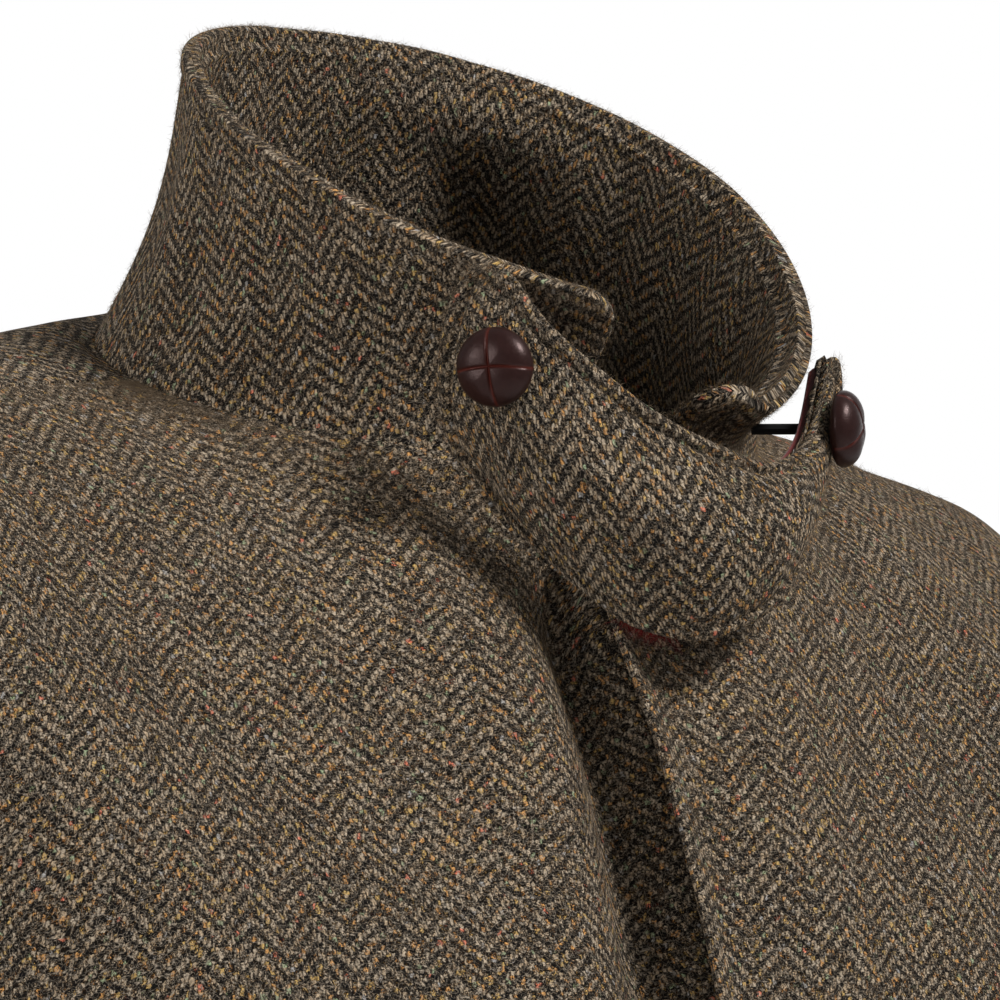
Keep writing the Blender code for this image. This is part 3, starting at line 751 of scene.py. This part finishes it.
def tabSurface(a, b):
    # Straight from the top edge to the lower edge, both smooth through the table, with the bow there.
    row = hermite(np.linspace(0, 1, len(tabSet["table"])), tabSet["table"], a)
    return row[..., 0:3] + (row[..., 3:6] - row[..., 0:3]) * b[..., None], row[..., 6]


def tabFace(a, b, shift):
    # The straight surface bowed outward along the middle, the lower edge hugging the body, moved in by shift.
    t = tabSet
    p, bow = tabSurface(a, b)
    along = tabSurface(np.clip(a + t["step"], 0, 1), b)[0] - tabSurface(np.clip(a - t["step"], 0, 1), b)[0]
    across = tabSurface(a, np.ones_like(b))[0] - tabSurface(a, np.zeros_like(b))[0]
    n = unit(np.cross(across, along))
    hug = t["hug"] * grow(b, *t["hugFrom"]) * bell(a - t["hugAt"], t["hugWidth"])
    return p + n * (bow * (1 - (2 * b - 1) ** 2) - shift - hug)[..., None], n


def tabShell(t, shift, inset=0.0):
    # The tab's face with rounded ends, drawn in by the inset; the outer one has a thick hem, a stitched groove and a
    # slow swell.
    ends = inset / 3
    tt, bb = np.meshgrid(ends + (1 - 2 * ends) * clustered(t["cols"], t["colPower"]),
                         inset + (1 - 2 * inset) * clustered(t["rows"], t["rowPower"]))
    curve = t["endCurve"] * np.abs(2 * bb - 1) ** t["endPower"]
    p, n = tabFace(curve + (1 - 2 * curve) * tt, bb, shift)
    if shift == 0.0:
        across, along = arcLength(p, 0), arcLength(p, 1)
        d = np.minimum(np.minimum(across, across[-1:] - across), np.minimum(along, along[:, -1:] - along))
        hem = t["hem"] * (1 - grow(d, *t["hemEdge"])) - t["groove"] * bell(d - t["grooveAt"], t["grooveWidth"])
        p = p + n * (hem + wave(tt, bb, t["swell"]) * smooth(d / t["swellEdge"]))[..., None]
    uv = np.stack([np.repeat(arcLength(p, 1).mean(0, keepdims=True), len(p), 0), -arcLength(p, 0)], -1)
    return p, gridNormal(p, n), uv


p, n, uv = tabShell(tabSet, 0.0)
tabCloth = addShell("tabCloth", p, n, wall["tab"], rotateUv(uv, tabSet["grain"]), uv, [tweedMat])
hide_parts("throat_tab")
shells["tabCloth"] = (p, n, tabCloth)
pl, nl, uvl = tabShell(tabSet, wall["tab"] + tabSet["gap"], tabSet["inset"])
tabLiningCloth = addShell("tabLiningCloth", pl, nl, wall["lining"], uvl, uvl, [feltMat])
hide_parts("throat_tab_lining")
print("stage: tab made")

buttonSet = {"radius": 0.0095, "height": 0.0075, "base": 0.0022, "turns": 144, "rings": 60, "foot": 0.0055,
             "under": 0.22, "dome": 0.8, "groove": 0.00060, "width": 0.00030, "bend": 0.10, "lean": 0.06,
             "seamFrom": 0.2, "puff": 0.00025, "puffWidth": 0.0035, "puffFrom": 0.25}


def addButton(name, node, spot, normal, gap, spin, t):
    # Plaited leather button: a dome of four puffed panels with a cross of sunk seams, rolled under at the rim.
    u = np.linspace(0, 1, t["rings"])[:, None]
    w = np.arange(t["turns"])[None] * 2 * math.pi / t["turns"]
    below = u < t["under"]
    tuck = np.clip(u / t["under"], 0, 1) * math.pi / 2
    lift = np.clip((u - t["under"]) / (1 - t["under"]), 0, 1) * math.pi / 2
    r = np.where(below, t["foot"] + (t["radius"] - t["foot"]) * np.sin(tuck), t["radius"] * np.cos(lift) ** t["dome"])
    h = np.where(below, t["base"] * (1 - np.cos(tuck)), t["base"] + (t["height"] - t["base"]) * np.sin(lift))
    x, y = r * np.cos(w), r * np.sin(w)
    near = np.minimum(np.abs(x + t["lean"] * y), np.abs(y + t["bend"] * (x**2) / t["radius"]))
    seam = bell(near, t["width"]) * (u > t["seamFrom"])
    h = h - t["groove"] * seam + t["puff"] * smooth(near / t["puffWidth"]) * (u > t["puffFrom"])
    z = unit(np.asarray(normal))
    ax = unit(np.cross((0.0, 0.0, 1.0), z))
    ay = np.cross(z, ax)
    c, sn = math.cos(spin), math.sin(spin)
    bx, by = ax * c + ay * sn, ay * c - ax * sn
    p = np.asarray(spot) + x[..., None] * bx + y[..., None] * by + (h + gap)[..., None] * z
    ids = np.arange(p.shape[0] * p.shape[1]).reshape(p.shape[:2])
    faces = gridFaces(ids, True)[:, ::-1]
    ob = addMesh(name, p.reshape(-1, 3), faces, None, [leatherMat], None, {"seam": seam.ravel()})
    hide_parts(node)


# Tab buttons: place along and across the tab, gap to the cloth and spin. Front buttons: heights, gap and spin.
tabButtons = (("buttonRight", "button_right", (0.165, 0.395), 0.0004, 0.12),
              ("buttonLeft", "button_left", (0.925, 0.30), 0.0007, 0.5))
frontButtons = {"heights": (-0.270, -0.385, -0.500), "gap": 0.0010, "spin": 0.2}
for label, node, (a, b), gap, spin in tabButtons:
    spot, facing = tabFace(np.array([a]), np.array([b]), 0.0)
    addButton(label, node, spot[0], facing[0], gap, spin, buttonSet)
for k, z in enumerate(frontButtons["heights"], 1):
    s = np.array(np.interp(-z, -ringRows[:, ringNames.index("zFront")], ringRows[:, 0]))
    normal = bodyNormal(s, np.array(180.0))
    spot = bodyPoint(s, 180.0) + normal * (wall["body"] + wall["lapGap"])
    addButton("frontButton%d" % k, "front_button_%d" % k, spot, normal, frontButtons["gap"],
              frontButtons["spin"] * k, buttonSet)
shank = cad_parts["thread_shank"]
shank.data.materials.clear()
shank.data.materials.append(threadMat)
print("stage: buttons made")

# Fibres: counts, the shares of rows and columns that carry them, and length, width and lean.
fuzzSet = {"bodyCount": 22000, "bodyRows": (0.03, 0.45), "bodyCols": (0.04, 0.97), "body": (0.0024, 0.000055, 2.0),
           "innerCount": 12000, "innerRows": (0.16, 0.95), "outerCount": 18000, "outerRows": (0.20, 0.95),
           "tabCount": 7200, "tabRows": (0.06, 0.94), "rimCount": 5200, "rimRows": (0.985, 1.0), "rimNormal": 0.2,
           "collar": (0.0021, 0.000055, 1.8), "redCount": 330, "redRows": (0.97, 1.0), "redCols": (0.485, 0.545),
           "redNormal": 0.3, "red": (0.0056, 0.00008, 0.8), "rise": (0.25, 1.0), "longs": (0.4, 1.3), "curl": 0.9,
           "middle": 0.8, "tip": 0.3}


def addFuzz(name, picks, size, mat):
    # Loose fibres: thin bent strips of two faces that leave the cloth along its normal and a random lean.
    t = fuzzSet
    length, width, lean = size
    a, normals = (np.concatenate(item) for item in zip(*picks))
    m = len(a)
    side = unit(np.cross(normals, rng.normal(size=(m, 3))))
    aim = unit(normals * rng.uniform(*t["rise"], (m, 1)) + side * lean)
    curl = unit(rng.normal(size=(m, 3)))
    half = length * rng.uniform(*t["longs"], (m, 1)) * 0.5
    flat = unit(np.cross(aim, curl)) * width / 2
    b = a + aim * half
    c = b + unit(aim + curl * t["curl"]) * half
    mid, tip = flat * t["middle"], flat * t["tip"]
    verts = np.stack([a - flat, a + flat, b + mid, b - mid, c + tip, c - tip], 1)
    base = np.arange(m)[:, None] * verts.shape[1]
    faces = np.concatenate([base + np.array([[0, 1, 2, 3]]), base + np.array([[3, 2, 4, 5]])])
    addMesh(name, verts.reshape(-1, 3), faces, None, [mat])


def pickPlaces(p, n, count, rows=(0.0, 1.0), cols=(0.0, 1.0)):
    # Random points on grid diagonals within the shares of rows and columns, with their normals.
    r = (rng.uniform(*rows, count) * (p.shape[0] - 1)).astype(int)
    c = (rng.uniform(*cols, count) * (p.shape[1] - 1)).astype(int)
    spread = rng.uniform(0, 1, (count, 1))
    r2, c2 = np.minimum(r + 1, p.shape[0] - 1), np.minimum(c + 1, p.shape[1] - 1)
    return p[r, c] * (1 - spread) + p[r2, c2] * spread, n[r, c]


picks = [pickPlaces(*shells[label][:2], fuzzSet["bodyCount"], fuzzSet["bodyRows"], fuzzSet["bodyCols"])
         for label in ("frontRightCloth", "frontLeftCloth")]
addFuzz("bodyFuzz", picks, fuzzSet["body"], fuzzMat)
p, n, _ = shells["collarCloth"]
upward = np.array([0, 0, 1.0])
picks = [pickPlaces(p - n * wall["collar"], -n, fuzzSet["innerCount"], fuzzSet["innerRows"]),
         pickPlaces(p, n, fuzzSet["outerCount"], fuzzSet["outerRows"]),
         pickPlaces(*shells["tabCloth"][:2], fuzzSet["tabCount"], fuzzSet["tabRows"]),
         pickPlaces(p - n * wall["collar"] / 2, unit(n * fuzzSet["rimNormal"] + upward), fuzzSet["rimCount"],
                    fuzzSet["rimRows"])]
addFuzz("collarFuzz", picks, fuzzSet["collar"], fuzzMat)
picks = [pickPlaces(pl, unit(nl * fuzzSet["redNormal"] - upward), fuzzSet["redCount"], fuzzSet["redRows"],
                    fuzzSet["redCols"])]
addFuzz("redFuzz", picks, fuzzSet["red"], redFuzzMat)
print("stage: fibres made")

# Pale floor below the hem, white surroundings that are brightest behind the jacket, and two broad lamps.
stageSet = {"floor": -0.82, "size": 6.0, "pale": (0.82, 0.82, 0.82), "rough": 0.9, "bright": 1.0, "dim": 0.27,
            "from": 0.70, "to": 0.95}
lampSet = (("key", (0.55, -1.35, 1.55), 43.0, 0.5), ("side", (-1.9, 0.0, 0.28), 17.0, 0.9))
corners = [(x * stageSet["size"], y * stageSet["size"], stageSet["floor"])
           for x, y in ((-1, -1), (1, -1), (1, 1), (-1, 1))]
floorMesh = bpy.data.meshes.new("floor")
floorMesh.from_pydata(corners, [], [(0, 1, 2, 3)])
floor = bpy.data.objects.new("floor", floorMesh)
scene.collection.objects.link(floor)
floorMesh.materials.append(plainMaterial("floor", stageSet["pale"], stageSet["rough"]))
world = bpy.data.worlds.new("studio")
scene.world = world
world.use_nodes = True
tree = world.node_tree
skyCoord = tree.nodes.new("ShaderNodeTexCoord")
skyFacing = tree.nodes.new("ShaderNodeVectorMath")
skyFacing.operation = "DOT_PRODUCT"
tree.links.new(skyCoord.outputs["Generated"], skyFacing.inputs[0])
skyFacing.inputs[1].default_value = tuple(-cameraAxes(cameraSet)[2])
skyRange = tree.nodes.new("ShaderNodeMapRange")
skyRange.interpolation_type = "SMOOTHSTEP"
for key, name in (("From Min", "from"), ("From Max", "to"), ("To Min", "dim"), ("To Max", "bright")):
    skyRange.inputs[key].default_value = stageSet[name]
tree.links.new(skyFacing.outputs["Value"], skyRange.inputs["Value"])
tree.links.new(skyRange.outputs[0], tree.nodes["Background"].inputs["Strength"])
tree.nodes["Background"].inputs["Color"].default_value = (1, 1, 1, 1)
for name, at, power, size in lampSet:
    lamp = bpy.data.lights.new(name, "AREA")
    lamp.energy = power
    lamp.size = size
    ob = bpy.data.objects.new(name, lamp)
    scene.collection.objects.link(ob)
    z = unit(np.array(at))
    x = unit(np.cross((0.0, 0.0, 1.0), z))
    placeObject(ob, x, np.cross(z, x), z, at)
scene.view_settings.view_transform = "Standard"
print("stage: light set")

print("stage: finished")
